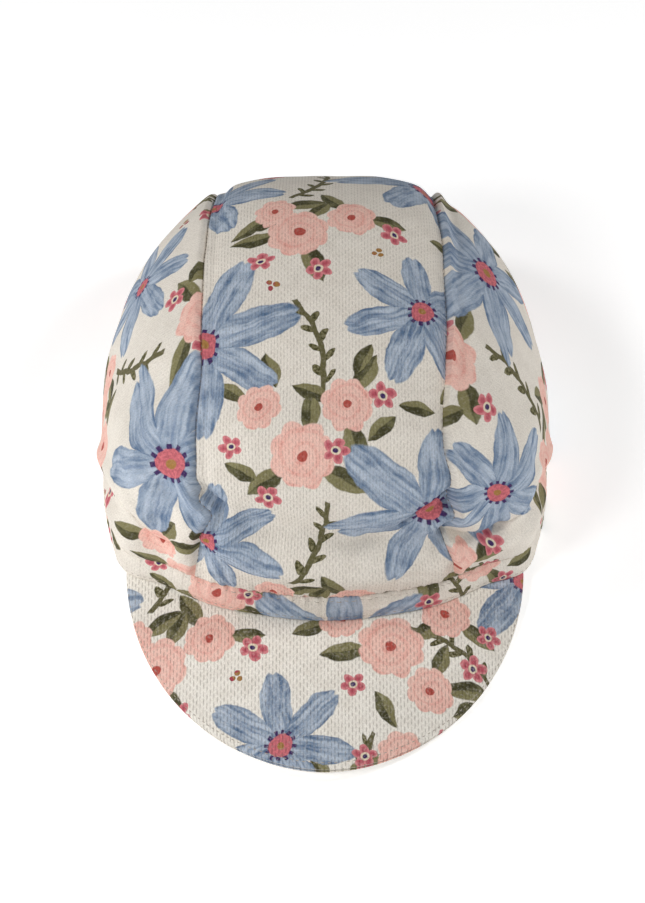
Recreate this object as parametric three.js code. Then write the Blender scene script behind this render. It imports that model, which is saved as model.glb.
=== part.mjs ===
// Cycling cap: a three-panel crown on a narrow rim band, with a short arched peak of two cloths.
// Millimetres, +Z up, the peak towards -Y. Azimuth is counted from the front, positive towards +X.

import * as THREE from 'three';
import { mergeVertices } from 'three/addons/utils/BufferGeometryUtils.js';

// Rim
const rimHalfWidth = 84;
const rimFrontLength = 93.6;
const rimBackLength = 97.4;
const frontLift = 16.4;
const restAzimuth = 70;
const backAzimuth = 180;

// Crown
const crownHeight = 107;
const clothThickness = 1.2;
const centreHalfWidth = 45;
const frontFullness = 2.8;
const sideFullness = 2.25;
const backFullness = 1.97;
const puffDepth = 1.6;
const puffHeight = 17;
const footSoftness = 4;
const foldDepth = 5;
const foldWidth = 8;
const seamShift = 5;

// Band
const bandHeight = 12;
const bandThickness = 1.8;
const bandLean = 1;

// Peak
const peakLength = 58.4;
const peakEndAzimuth = 50;
const peakSewnAzimuth = 48;
const peakEndTuck = 1.6;
const peakArch = 4.7;
const peakBulge = 1.5;
const peakClothThickness = 1.3;
const peakLining = 1.1;
const peakRimLap = 0.5;
const peakRoundness = 1.89;
const peakRestGap = 0.15;

// Clearance between pieces that are sewn together
const seamGap = 0.3;
const peakStack = peakClothThickness + seamGap + peakLining;

// Rim radius as a share of the plain ellipse, by azimuth: the corners of the peak stand out
const rimShares = [
  { azimuth: 0, share: 1.0 },
  { azimuth: 12, share: 1.005 },
  { azimuth: 26, share: 1.039 },
  { azimuth: 38, share: 1.06 },
  { azimuth: 50, share: 1.124 },
  { azimuth: 59, share: 1.085 },
  { azimuth: 69, share: 1.05 },
  { azimuth: 90, share: 1.0 },
  { azimuth: 120, share: 1.017 },
  { azimuth: 150, share: 1.072 },
  { azimuth: backAzimuth, share: 1.0 },
];

// Height of the rim as a share of the front lift: level from the rest azimuth round the back
const liftShares = [
  { azimuth: 0, share: 1.0 },
  { azimuth: 20, share: 0.95 },
  { azimuth: 38, share: 0.72 },
  { azimuth: 50, share: 0.38 },
  { azimuth: 60, share: 0.1 },
  { azimuth: restAzimuth, share: 0 },
  { azimuth: backAzimuth, share: 0 },
];

// Half width of the centre panel as a share, by the angle over the crown from front to back
const seamShares = [
  { angle: 0, share: 1.06 },
  { angle: 15, share: 1.02 },
  { angle: 40, share: 1.0 },
  { angle: 90, share: 1.0 },
  { angle: 130, share: 0.95 },
  { angle: 180, share: 0.84 },
];

// Where a seam is pulled off its line, as a share of seamShift (positive is away from the middle)
const seamPulls = [
  { side: -1, angle: 28, spread: 6, pull: -1.0 },
  { side: -1, angle: 48, spread: 12, pull: 0.3 },
  { side: 1, angle: 50, spread: 14, pull: -0.5 },
  { side: 1, angle: 29, spread: 8, pull: 0.3 },
];

// Dents and folds: path in [azimuth, elevation], depth (negative is a dent) and width as shares
const folds = [
  { name: 'pinch at the left seam', path: [[-29, 31], [-27, 24], [-29, 10]], depth: -0.9, width: 0.75 },
  { name: 'roll beside the left pinch', path: [[-36, 27], [-36, 16]], depth: 0.35, width: 1.0 },
  { name: 'dent at the right front', path: [[32, 17], [36, 12], [40, 6]], depth: -1.0, width: 0.85 },
  { name: 'roll at the right seam', path: [[31, 33], [33, 24]], depth: 0.5, width: 0.9 },
  { name: 'upper lip of the slanting fold', path: [[30, 31], [17, 27], [8, 24]], depth: 0.35, width: 0.8 },
  { name: 'slanting fold', path: [[29, 25], [17, 21], [8, 18]], depth: -0.45, width: 0.65 },
  { name: 'puffed front', path: [[-14, 15], [0, 16], [12, 12]], depth: 0.3, width: 1.3 },
  { name: 'left sag crease', path: [[-75, 18], [-66, 20], [-52, 22], [-44, 19], [-40, 8]], depth: -0.5, width: 0.6 },
  { name: 'left sag roll', path: [[-70, 29], [-54, 31], [-44, 28]], depth: 0.25, width: 1.2 },
  { name: 'right sag crease', path: [[76, 15], [67, 16], [54, 18], [45, 13], [41, 6]], depth: -0.5, width: 0.6 },
  { name: 'right sag roll', path: [[70, 26], [56, 28], [47, 24]], depth: 0.25, width: 1.2 },
  { name: 'soft crease by the right seam', path: [[142, 42], [100, 55], [70, 56]], depth: -0.2, width: 0.8 },
];

// How high the peak's free edge is arched, from its middle (0) to where it comes down (0.9) and its end
const archShares = [
  { along: 0, share: 1.0 },
  { along: 0.3, share: 0.87 },
  { along: 0.6, share: 0.4 },
  { along: 0.8, share: 0.08 },
  { along: 0.9, share: 0 },
  { along: 1, share: 0 },
];

// How far the free edge has risen from the arch to the rim above its end
const endRiseShares = [
  { along: 0.88, share: 0 },
  { along: 0.97, share: 0.3 },
  { along: 1, share: 1 },
];

// Mesh fineness
const seamSteps = 46;
const seamCrowding = 1.15;
const centreSteps = 14;
const sideSteps = 13;
const bandSteps = 88;
const peakSteps = 26;
const peakRows = 7;
const slopeStep = 1e-3;
const mergeDistance = 1e-4;
const halvings = 40;
const overAll = 180;

const toRadians = THREE.MathUtils.degToRad;
const toDegrees = THREE.MathUtils.radToDeg;

// A smooth value between the rows of a table, flat where the table is flat or turns back
function between(rows, column, key) {
  const at = (i) => rows[i][column];
  const slope = (i) => (rows[i + 1].share - rows[i].share) / (at(i + 1) - at(i));
  const tangent = (i) => {
    if (i === 0 || i === rows.length - 1) return 0;
    const before = slope(i - 1);
    const after = slope(i);
    return before * after > 0 ? (2 * before * after) / (before + after) : 0;
  };
  const inside = Math.min(Math.max(key, at(0)), at(rows.length - 1));
  let i = 0;
  while (i < rows.length - 2 && inside > at(i + 1)) i += 1;
  const span = at(i + 1) - at(i);
  const t = (inside - at(i)) / span;
  return (2 * t ** 3 - 3 * t ** 2 + 1) * rows[i].share
    + (t ** 3 - 2 * t ** 2 + t) * span * tangent(i)
    + (-2 * t ** 3 + 3 * t ** 2) * rows[i + 1].share
    + (t ** 3 - t ** 2) * span * tangent(i + 1);
}

// Outer radius of the rim in plan, and the height of its lower edge
function rimRadius(azimuth) {
  const length = Math.cos(azimuth) > 0 ? rimFrontLength : rimBackLength;
  const plain = 1 / Math.hypot(Math.sin(azimuth) / rimHalfWidth, Math.cos(azimuth) / length);
  return plain * between(rimShares, 'azimuth', Math.abs(toDegrees(azimuth)));
}

function rimHeight(azimuth) {
  return frontLift * between(liftShares, 'azimuth', Math.abs(toDegrees(azimuth)));
}

function polar(azimuth, radius, height) {
  return new THREE.Vector3(Math.sin(azimuth) * radius, -Math.cos(azimuth) * radius, height);
}

// A direction from the crown's centre, by azimuth and elevation or by sideways angle and angle over
function direction(azimuth, elevation) {
  return polar(azimuth, Math.cos(elevation), Math.sin(elevation));
}

function directionOver(sideways, over) {
  const level = Math.cos(sideways);
  return new THREE.Vector3(Math.sin(sideways), -level * Math.cos(over), level * Math.sin(over));
}

// The smooth dome, before puffs and folds: a superellipse in each upright section
function domePoint(along) {
  const azimuth = Math.atan2(along.x, -along.y);
  const level = Math.hypot(along.x, along.y);
  const frontness = Math.cos(azimuth);
  const endFullness = frontness > 0 ? frontFullness : backFullness;
  const fullness = sideFullness + (endFullness - sideFullness) * frontness ** 2;
  const reach = (level ** fullness + Math.abs(along.z) ** fullness) ** (-1 / fullness);
  const foot = rimHeight(azimuth) + bandHeight + seamGap;
  const radius = (rimRadius(azimuth) - bandLean) * level * reach;
  return polar(azimuth, radius, foot + (crownHeight - foot) * along.z * reach);
}

function domeNormal(along) {
  const helper = Math.abs(along.z) < 0.9 ? new THREE.Vector3(0, 0, 1) : new THREE.Vector3(0, 1, 0);
  const across = new THREE.Vector3().crossVectors(helper, along).normalize();
  const up = new THREE.Vector3().crossVectors(along, across);
  const slopeAlong = (way) => {
    const ahead = along.clone().addScaledVector(way, slopeStep).normalize();
    const behind = along.clone().addScaledVector(way, -slopeStep).normalize();
    return domePoint(ahead).sub(domePoint(behind));
  };
  return slopeAlong(across).cross(slopeAlong(up)).normalize();
}

const foldLines = folds.map(({ path }) => path.map(
  ([azimuth, elevation]) => domePoint(direction(toRadians(azimuth), toRadians(elevation))),
));

function distanceToLine(point, line) {
  const nearest = new THREE.Vector3();
  let least = Infinity;
  for (let i = 0; i + 1 < line.length; i += 1) {
    new THREE.Line3(line[i], line[i + 1]).closestPointToPoint(point, true, nearest);
    least = Math.min(least, nearest.distanceTo(point));
  }
  return least;
}

// How far the cloth stands off the smooth dome: puffed above the band, then dented and folded
function standOff(along, point) {
  const azimuth = Math.atan2(along.x, -along.y);
  const rise = (point.z - rimHeight(azimuth) - bandHeight - seamGap) / puffHeight;
  let offset = puffDepth * rise * Math.exp(1 - rise);
  const footFade = 1 - Math.exp(-rise * rise * footSoftness);
  folds.forEach((fold, i) => {
    const distance = distanceToLine(point, foldLines[i]) / (foldWidth * fold.width);
    offset += foldDepth * fold.depth * Math.exp(-distance * distance) * footFade;
  });
  return offset;
}

// Outer and inner point of the crown's cloth; the foot keeps its height so that it follows the band
function crownPair(along, isFoot) {
  const normal = domeNormal(along);
  const outer = domePoint(along);
  outer.addScaledVector(normal, standOff(along, outer));
  if (isFoot) normal.setZ(0).normalize();
  return [outer, outer.clone().addScaledVector(normal, -clothThickness)];
}

function seamHalfWidth(side, angle) {
  const pulled = seamPulls
    .filter((pull) => pull.side === side)
    .map((pull) => pull.pull * Math.exp(-(((angle - pull.angle) / pull.spread) ** 2)))
    .reduce((sum, value) => sum + value, 0);
  return centreHalfWidth * between(seamShares, 'angle', angle) + seamShift * pulled;
}

// The direction in which the dome is the given distance from its middle plane
function directionAt(offset, angle) {
  const over = toRadians(angle);
  let near = 0;
  let far = Math.PI / 2;
  for (let i = 0; i < halvings; i += 1) {
    const middle = (near + far) / 2;
    if (domePoint(directionOver(middle, over)).x < Math.abs(offset)) near = middle;
    else far = middle;
  }
  return directionOver(Math.sign(offset) * near, over);
}

const seamAngle = (i) => overAll * (i / seamSteps) ** seamCrowding;
const isFootRow = (i) => i === 0 || i === seamSteps;

// A closed wall between two grids of points: grid[i][j] holds the outer and the inner point
function wall(grid, isLoop = false) {
  const columns = grid.length;
  const rows = grid[0].length;
  const positions = grid.flat().flatMap(([outer, inner]) => [...outer.toArray(), ...inner.toArray()]);
  const index = [];
  const corner = (i, j, side) => ((i % columns) * rows + j) * 2 + side;
  const quad = (a, b, c, d) => index.push(a, b, c, a, c, d);
  const spans = isLoop ? columns : columns - 1;
  for (let i = 0; i < spans; i += 1) {
    for (let j = 0; j + 1 < rows; j += 1) {
      quad(corner(i, j, 0), corner(i + 1, j, 0), corner(i + 1, j + 1, 0), corner(i, j + 1, 0));
      quad(corner(i, j, 1), corner(i, j + 1, 1), corner(i + 1, j + 1, 1), corner(i + 1, j, 1));
    }
    quad(corner(i, 0, 1), corner(i + 1, 0, 1), corner(i + 1, 0, 0), corner(i, 0, 0));
    quad(corner(i, rows - 1, 0), corner(i + 1, rows - 1, 0), corner(i + 1, rows - 1, 1), corner(i, rows - 1, 1));
  }
  if (!isLoop) {
    for (let j = 0; j + 1 < rows; j += 1) {
      quad(corner(0, j, 0), corner(0, j + 1, 0), corner(0, j + 1, 1), corner(0, j, 1));
      quad(corner(columns - 1, j, 1), corner(columns - 1, j + 1, 1),
        corner(columns - 1, j + 1, 0), corner(columns - 1, j, 0));
    }
  }
  const loose = new THREE.BufferGeometry();
  loose.setAttribute('position', new THREE.Float32BufferAttribute(positions, 3));
  loose.setIndex(index);
  return withoutSlivers(mergeVertices(loose, mergeDistance));
}

// Where a grid's side shrinks to a point, the triangles that have lost a corner are dropped
function withoutSlivers(geometry) {
  const index = geometry.getIndex().array;
  const kept = [];
  for (let i = 0; i < index.length; i += 3) {
    const [a, b, c] = [index[i], index[i + 1], index[i + 2]];
    if (a !== b && b !== c && c !== a) kept.push(a, b, c);
  }
  geometry.setIndex(kept);
  geometry.computeVertexNormals();
  return geometry;
}

function crownCentre() {
  const grid = [];
  for (let j = 0; j <= centreSteps; j += 1) {
    const across = (2 * j) / centreSteps - 1;
    const column = [];
    for (let i = 0; i <= seamSteps; i += 1) {
      const angle = seamAngle(i);
      const halfWidth = seamHalfWidth(Math.sign(across) || 1, angle) - seamGap / 2;
      column.push(crownPair(directionAt(across * halfWidth, angle), isFootRow(i)));
    }
    grid.push(column);
  }
  return wall(grid);
}

// A side panel is ruled from points along the rim to the matching points along its seam
function crownSide(side) {
  const seam = [];
  for (let i = 0; i <= seamSteps; i += 1) {
    const angle = seamAngle(i);
    seam.push(directionAt(side * (seamHalfWidth(side, angle) + seamGap / 2), angle));
  }
  const azimuthOf = (along) => Math.atan2(along.x, -along.y);
  const frontAzimuth = azimuthOf(seam[0]);
  const rearAzimuth = azimuthOf(seam[seamSteps]);
  const grid = seam.map((top, i) => {
    const share = (i / seamSteps) ** seamCrowding;
    const footAzimuth = THREE.MathUtils.lerp(frontAzimuth, rearAzimuth, share);
    const column = [];
    for (let j = 0; j <= sideSteps; j += 1) {
      const azimuth = THREE.MathUtils.lerp(footAzimuth, azimuthOf(top), j / sideSteps);
      const elevation = THREE.MathUtils.lerp(0, Math.asin(top.z), j / sideSteps);
      column.push(crownPair(direction(azimuth, elevation), j === 0 || isFootRow(i)));
    }
    return column;
  });
  return wall(side > 0 ? grid : grid.reverse());
}

function rimBand() {
  const grid = [];
  for (let i = 0; i < bandSteps; i += 1) {
    const azimuth = (2 * Math.PI * i) / bandSteps - Math.PI;
    const radius = rimRadius(azimuth);
    const height = rimHeight(azimuth);
    const low = [radius, radius - bandThickness].map((r) => polar(azimuth, r, height));
    const high = [radius, radius - bandThickness].map((r) => polar(azimuth, r - bandLean, height + bandHeight));
    grid.push([low, high]);
  }
  return wall(grid, true);
}

// Where the peak's free edge ends, tucked under the band
const peakEndTurn = toRadians(peakEndAzimuth);
const peakEnd = polar(peakEndTurn, rimRadius(peakEndTurn) - peakEndTuck, rimHeight(peakEndTurn) - 2 * seamGap);

// The peak's top face: from the edge sewn under the band (out = 0) to the free edge (out = 1)
function peakPoint(along, out) {
  const azimuth = along * toRadians(peakSewnAzimuth);
  const sewn = polar(azimuth, rimRadius(azimuth) - bandThickness, rimHeight(azimuth) - seamGap);
  const sideShare = Math.sin((along * Math.PI) / 2);
  const forward = (1 - Math.abs(sideShare) ** peakRoundness) ** (1 / peakRoundness);
  const arched = peakRestGap + peakStack + peakArch * between(archShares, 'along', Math.abs(sideShare));
  const endRise = between(endRiseShares, 'along', Math.abs(sideShare));
  const free = new THREE.Vector3(
    peakEnd.x * sideShare,
    THREE.MathUtils.lerp(peakEnd.y, -rimFrontLength - peakLength, forward),
    THREE.MathUtils.lerp(arched, peakEnd.z, endRise),
  );
  const bulge = peakBulge * 4 * out * (1 - out) * forward;
  return sewn.lerp(free, out).add(new THREE.Vector3(0, 0, bulge));
}

function peakNormal(along, out) {
  const step = slopeStep * 10;
  const inside = THREE.MathUtils.clamp(along, step - 1, 1 - step);
  const across = peakPoint(inside + step, out).sub(peakPoint(inside - step, out));
  const outward = peakPoint(inside, out + step).sub(peakPoint(inside, out - step));
  return outward.cross(across).normalize();
}

function peakCloth(depth, thickness, lap) {
  const grid = [];
  for (let i = 0; i <= peakSteps; i += 1) {
    const along = (2 * i) / peakSteps - 1;
    const column = [];
    for (let j = 0; j <= peakRows; j += 1) {
      const out = 1 - j / peakRows;
      const normal = peakNormal(along, out);
      const upper = peakPoint(along, out).addScaledVector(normal, -depth);
      if (j === 0) upper.y -= lap;
      column.push([upper, upper.clone().addScaledVector(normal, -thickness)]);
    }
    grid.push(column);
  }
  return wall(grid);
}

function cloth(colour, roughness) {
  return new THREE.MeshStandardMaterial({ color: colour, roughness, metalness: 0 });
}

function piece(name, geometry, material) {
  const mesh = new THREE.Mesh(geometry, material);
  mesh.name = name;
  return mesh;
}

const knit = cloth(0xddd6cb, 0.85);
const underCloth = cloth(0xcfc9c0, 0.85);
const cap = new THREE.Group();
cap.add(
  piece('crown_centre', crownCentre(), knit),
  piece('crown_left', crownSide(-1), knit),
  piece('crown_right', crownSide(1), knit),
  piece('rim_band', rimBand(), knit),
  piece('peak_top', peakCloth(0, peakClothThickness, 0), knit),
  piece('peak_underside', peakCloth(peakClothThickness + seamGap, peakLining, peakRimLap), underCloth),
);

// The origin is under the middle of the cap, on the surface that it rests on
const box = new THREE.Box3().setFromObject(cap);
const middle = box.getCenter(new THREE.Vector3());
cap.position.set(-middle.x, -middle.y, -box.min.z);

export default cap;
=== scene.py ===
# Cycling cap: fine cloth for each piece of the frame, with its stitches, print, lights and camera
# Lengths in the tables are millimetres unless a name says otherwise. The peak points towards -Y.

import math

import bmesh
import bpy
import numpy as np
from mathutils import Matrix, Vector


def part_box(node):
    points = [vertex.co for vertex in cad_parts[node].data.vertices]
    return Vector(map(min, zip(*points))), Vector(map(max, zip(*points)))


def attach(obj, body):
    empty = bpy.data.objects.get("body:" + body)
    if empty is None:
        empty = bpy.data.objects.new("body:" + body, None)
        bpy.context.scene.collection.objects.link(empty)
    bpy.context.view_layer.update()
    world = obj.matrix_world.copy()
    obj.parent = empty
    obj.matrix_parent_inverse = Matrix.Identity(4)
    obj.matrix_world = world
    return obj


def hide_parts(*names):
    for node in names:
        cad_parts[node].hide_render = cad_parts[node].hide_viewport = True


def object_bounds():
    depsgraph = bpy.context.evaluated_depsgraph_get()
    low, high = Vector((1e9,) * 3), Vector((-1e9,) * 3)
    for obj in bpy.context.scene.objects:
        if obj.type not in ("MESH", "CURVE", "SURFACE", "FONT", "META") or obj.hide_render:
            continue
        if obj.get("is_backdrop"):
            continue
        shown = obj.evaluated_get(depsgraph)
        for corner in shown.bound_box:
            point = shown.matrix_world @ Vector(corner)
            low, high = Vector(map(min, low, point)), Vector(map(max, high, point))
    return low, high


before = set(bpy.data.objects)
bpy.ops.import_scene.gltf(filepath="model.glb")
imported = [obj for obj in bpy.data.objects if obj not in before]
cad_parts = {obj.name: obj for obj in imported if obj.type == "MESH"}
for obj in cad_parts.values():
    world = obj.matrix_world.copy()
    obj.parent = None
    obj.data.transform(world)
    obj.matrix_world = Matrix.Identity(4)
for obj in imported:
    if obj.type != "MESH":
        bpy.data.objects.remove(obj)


def write_size(key, sizes):
    low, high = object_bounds()
    sizes[key] = {"low": [float(v) for v in low], "high": [float(v) for v in high]}


sizes = {}
write_size("frame", sizes)

MM = 0.001

# Rim, as in the solids
RIM_HALF_WIDTH = 84.0
RIM_FRONT_LENGTH = 93.6
RIM_BACK_LENGTH = 97.4
FRONT_LIFT = 16.4

# Crown
CROWN_HEIGHT = 107.0
CLOTH_THICKNESS = 1.2
CENTRE_HALF_WIDTH = 45.0
FRONT_FULLNESS = 2.8
SIDE_FULLNESS = 2.25
BACK_FULLNESS = 1.97
PUFF_DEPTH = 1.6
PUFF_HEIGHT = 17.0

# Band
BAND_HEIGHT = 12.0
BAND_THICKNESS = 1.8
BAND_LEAN = 1.0
BAND_FRONT_LEAN = 2.4
BAND_FRONT_DROP = 2.2
FRONT_AZIMUTH = 52.0
BAND_ARC_RADIUS = 92.0
BAND_CLOTH_RADIUS = 94.0
BAND_ROLL = 0.6
BAND_TOP_ROLL = 0.75
BAND_STITCH_HEIGHTS = (0.17, 0.84)

# Gathers of the band and of the crown's foot, which fade out at an azimuth in degrees
GATHER_END = 33.0
GATHER_FADE = 2.5
GATHER_DEPTH = 0.62
GATHER_HEIGHT = 4.6
CROWN_ARC_RADIUS = 86.0

# Peak
PEAK_LENGTH = 57.6
PEAK_END_AZIMUTH = 50.0
PEAK_SEWN_AZIMUTH = 48.0
PEAK_END_TUCK = 1.6
PEAK_ARCH = 4.7
PEAK_BULGE = 1.5
PEAK_CLOTH_THICKNESS = 1.3
PEAK_LINING = 1.1
PEAK_RIM_LAP = 0.5
PEAK_ROUNDNESS = 1.89
PEAK_REST_GAP = 0.15
PEAK_STITCH_INSET = 1.4
SEAM_GAP = 0.3
PEAK_STACK = PEAK_CLOTH_THICKNESS + SEAM_GAP + PEAK_LINING

# Azimuth in degrees from the front, and the rim's radius as a share of a plain ellipse
RIM_SHARES = np.array([
    (0, 1.0), (12, 1.005), (26, 1.039), (38, 1.06), (50, 1.124), (59, 1.085), (69, 1.05),
    (90, 1.0), (120, 1.017), (150, 1.072), (180, 1.0),
])

# Azimuth and the rim's height as a share of the front lift
LIFT_SHARES = np.array([(0, 1.0), (20, 0.95), (38, 0.72), (50, 0.38), (60, 0.1), (70, 0), (180, 0)])

# Angle over the crown and the centre panel's half width as a share
SEAM_SHARES = np.array([(0, 1.06), (15, 1.02), (40, 1.0), (90, 1.0), (130, 0.95), (180, 0.84)])

# Side, angle, spread below and above it, and pull of the seam off its line
SEAM_PULLS = [
    (-1, 27.4, 6.0, 3.0, -4.4), (-1, 12, 5, 5, 0.8), (-1, 48, 12, 12, 1.2),
    (1, 50, 14, 14, -2.5), (1, 27, 7, 6, 1.7), (1, 12, 6, 6, -0.7),
]

# Each seam's depth, the side panel's rise, width and dip beyond, and the centre's dip, place and width
SEAM_DEPTH = {-1: 1.6, 1: 2.2}
SEAM_EDGES = {-1: (0.75, 7.5, 0.0), 1: (1.4, 3.4, 0.5)}
SEAM_DIPS = {-1: (1.5, 3.6, 2.6), 1: (2.0, 0.0, 5.0)}
SEAM_VALLEY_WIDTH = 0.8
SEAM_FOOT_FADE = 2.6
SEAM_SPLIT = 0.02

# Middle of a side panel in azimuth and elevation, and the radius that the panel is laid flat with
SIDE_MIDDLE = (92.0, 38.0)
SIDE_CLOTH_RADIUS = 90.0
CENTRE_CLOTH_EASE = 1.04

# How far the print is shifted on each piece
SIDE_PRINT_SHIFT = (24.0, 30.0)
BAND_PRINT_SHIFT = (33.0, 58.0)
PEAK_PRINT_SHIFT = (52.0, 96.0)

# Strength of the eyelets where the cloth is stretched, which pulls them half shut
SIDE_EYELETS = 0.35
BAND_EYELETS = 0.5

# Along the peak's free edge: height of the arch, and how far its end has risen to the rim
ARCH_SHARES = np.array([(0, 1.0), (0.3, 0.87), (0.6, 0.4), (0.8, 0.08), (0.9, 0), (1, 0)])
END_RISE_SHARES = np.array([(0.88, 0), (0.97, 0.3), (1, 1)])

# Soft forms of the crown: path in azimuth and elevation, how far each stands out, and its width
SOFT_FOLDS = [
    ([(-31.2, 30.8), (-29, 29.6), (-26.6, 28.2)], -2.8, 3.0),
    ([(-24.6, 26), (-25.6, 20)], -1.6, 3.6),
    ([(-35, 31), (-32, 26), (-32.5, 20)], 2.6, 5.5),
    ([(-30, 14), (-30.5, 7)], -2.4, 3.2),
    ([(30.5, 16.5), (33.2, 12.6), (36.5, 10.8), (39.8, 10.8), (41.6, 12)], -6.6, 4.4),
    ([(30, 8.2), (34.2, 6.4), (39.2, 5.4), (43, 8)], 2.4, 4.0),
    ([(33.5, 33), (34.5, 24)], 2.4, 6.0),
    ([(31, 27), (28, 25.5), (24, 24.5)], -4.8, 4.4),
    ([(31, 35), (25, 33.5), (19, 29.5), (14, 26)], 1.5, 5.5),
    ([(18, 23), (11, 20)], -1.5, 5.0),
    ([(-24, 18.5), (-15, 13), (0, 9.5), (14, 7.5)], 2.6, 5.5),
    ([(-18, 24), (0, 22), (14, 18.5), (25, 15)], -5.6, 9.0),
    ([(-20, 46), (0, 47), (20, 45)], 3.4, 11.0),
    ([(-74, 3), (-60, 11), (-51, 14.5), (-44, 10), (-39, 6)], -2.6, 4.4),
    ([(-74, 9), (-60, 17.5), (-50, 21.5), (-44, 18)], 1.5, 4.0),
    ([(-40, 27.5), (-34, 25.5), (-31, 24)], -1.8, 3.2),
    ([(-70, 27), (-54, 29), (-44, 26)], 1.6, 9.0),
    ([(-60, 8), (-46, 6)], 1.3, 5.0),
    ([(75, 3), (63, 11), (54, 14), (48, 12.5), (43, 10)], -2.6, 4.4),
    ([(75, 9), (63, 17.5), (54, 21), (48, 20)], 1.5, 4.0),
    ([(70, 26), (56, 28.5), (47, 25)], 1.6, 9.0),
    ([(62, 7), (50, 8)], 1.2, 5.0),
    ([(142, 42), (100, 55), (70, 56), (45, 50)], -1.3, 6.0),
    ([(-60, 44), (-48, 52), (-40, 64)], -0.9, 8.0),
]

# Narrow creases of the crown: path, how far each stands out, and the width of its sharp valley
CREASES = [
    ([(-72, 5), (-58.5, 13.5), (-50, 17.5), (-47.5, 16.5), (-45.5, 14)], -3.6, 0.75),
    ([(-46.5, 15.5), (-43.5, 11), (-41, 9.5), (-36.5, 10)], -3.2, 1.3),
    ([(75, 6), (62.5, 14), (55, 17), (49.5, 17), (47, 15.5), (43.5, 13)], -3.6, 0.75),
    ([(32.5, 30), (29.5, 29.5), (26, 28.5), (22, 27), (18.5, 24)], -2.8, 1.1),
    ([(31, 15.5), (34, 11.8), (38, 10)], -1.8, 2.0),
    ([(-31.5, 30), (-28.2, 28.6), (-25.4, 27)], -1.8, 1.5),
    ([(-29.6, 12), (-29.6, 6)], -1.0, 1.4),
    ([(-28, 3), (-20, 6), (-14, 5)], -0.9, 1.4),
    ([(26, 4), (20, 7), (15, 6)], -0.9, 1.4),
]

FINE = 1.0
SEAM_ROWS = int(300 * FINE)
CENTRE_COLUMNS = int(90 * FINE)
SIDE_ROWS = int(128 * FINE)
BAND_COLUMNS = int(900 * FINE)
BAND_ROWS = int(26 * FINE)
PEAK_COLUMNS = int(176 * FINE)
PEAK_ROWS = int(52 * FINE)

# Edges of the cloth that bend more than this, in radians, are shaded as sharp
SHARP_ANGLE = 1.0


def between(rows, key):
    """A smooth value between the rows of a table, flat where the table is flat or turns back."""
    at, share = rows[:, 0], rows[:, 1]
    slope = np.diff(share) / np.diff(at)
    tangent = np.zeros(len(at))
    for i in range(1, len(at) - 1):
        if slope[i - 1] * slope[i] > 0:
            tangent[i] = 2 * slope[i - 1] * slope[i] / (slope[i - 1] + slope[i])
    inside = np.clip(key, at[0], at[-1])
    i = np.clip(np.searchsorted(at, inside, side="right") - 1, 0, len(at) - 2)
    span = at[i + 1] - at[i]
    t = (inside - at[i]) / span
    return (
        (2 * t**3 - 3 * t**2 + 1) * share[i]
        + (t**3 - 2 * t**2 + t) * span * tangent[i]
        + (3 * t**2 - 2 * t**3) * share[i + 1]
        + (t**3 - t**2) * span * tangent[i + 1]
    )


def rim_radius(azimuth):
    length = np.where(np.cos(azimuth) > 0, RIM_FRONT_LENGTH, RIM_BACK_LENGTH)
    plain = 1 / np.hypot(np.sin(azimuth) / RIM_HALF_WIDTH, np.cos(azimuth) / length)
    return plain * between(RIM_SHARES, np.abs(np.degrees(azimuth)))


def rim_height(azimuth):
    return FRONT_LIFT * between(LIFT_SHARES, np.abs(np.degrees(azimuth)))


def azimuth_of(place):
    return np.arctan2(place[..., 0], -place[..., 1])


def bell(distance, width):
    """1 in the middle of a soft form, and less away from it."""
    return np.exp(-((distance / width) ** 2))


def front_share(azimuth):
    """1 at the front of the cap, 0 from its sides to its back."""
    return np.clip(1 - (np.degrees(azimuth) / FRONT_AZIMUTH) ** 2, 0, 1) ** 2


def band_lean(azimuth):
    return BAND_LEAN + BAND_FRONT_LEAN * front_share(azimuth)


def band_height(azimuth):
    return BAND_HEIGHT - BAND_FRONT_DROP * front_share(azimuth)


def foot_height(azimuth):
    """Height of the line where the crown meets the band."""
    return rim_height(azimuth) + band_height(azimuth)


def gathered_share(azimuth, rest):
    """1 over the gathered front of the cap, and the rest elsewhere."""
    beyond = (np.abs(np.degrees(azimuth)) - GATHER_END) / GATHER_FADE
    return rest + (1 - rest) / (1 + np.exp(beyond))


def wander(arc, number, *drifts):
    """A wave along the band whose pitch drifts; a drift is a strength, a wave number and a start."""
    phase = arc * number
    for strength, slow_number, start in drifts:
        phase = phase + strength * np.sin(arc * slow_number + start)
    return np.sin(phase)


def polar(azimuth, radius, height):
    azimuth, radius, height = np.broadcast_arrays(azimuth, radius, height)
    return np.stack([np.sin(azimuth) * radius, -np.cos(azimuth) * radius, height], -1)


def direction(azimuth, elevation):
    return polar(azimuth, np.cos(elevation), np.sin(elevation))


def direction_over(sideways, over):
    level = np.cos(sideways)
    return np.stack([np.sin(sideways), -level * np.cos(over), level * np.sin(over)], -1)


def unit(v):
    return v / np.maximum(np.linalg.norm(v, axis=-1, keepdims=True), 1e-12)


def dome_point(along):
    """The smooth dome before puffs and folds: a superellipse in each upright section."""
    azimuth = azimuth_of(along)
    level = np.hypot(along[..., 0], along[..., 1])
    rise = np.abs(along[..., 2])
    frontness = np.cos(azimuth)
    end = np.where(frontness > 0, FRONT_FULLNESS, BACK_FULLNESS)
    fullness = SIDE_FULLNESS + (end - SIDE_FULLNESS) * frontness**2
    reach = (level**fullness + rise**fullness) ** (-1 / fullness)
    foot = foot_height(azimuth)
    radius = (rim_radius(azimuth) - band_lean(azimuth)) * level * reach
    return polar(azimuth, radius, foot + (CROWN_HEIGHT - foot) * along[..., 2] * reach)


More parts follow.
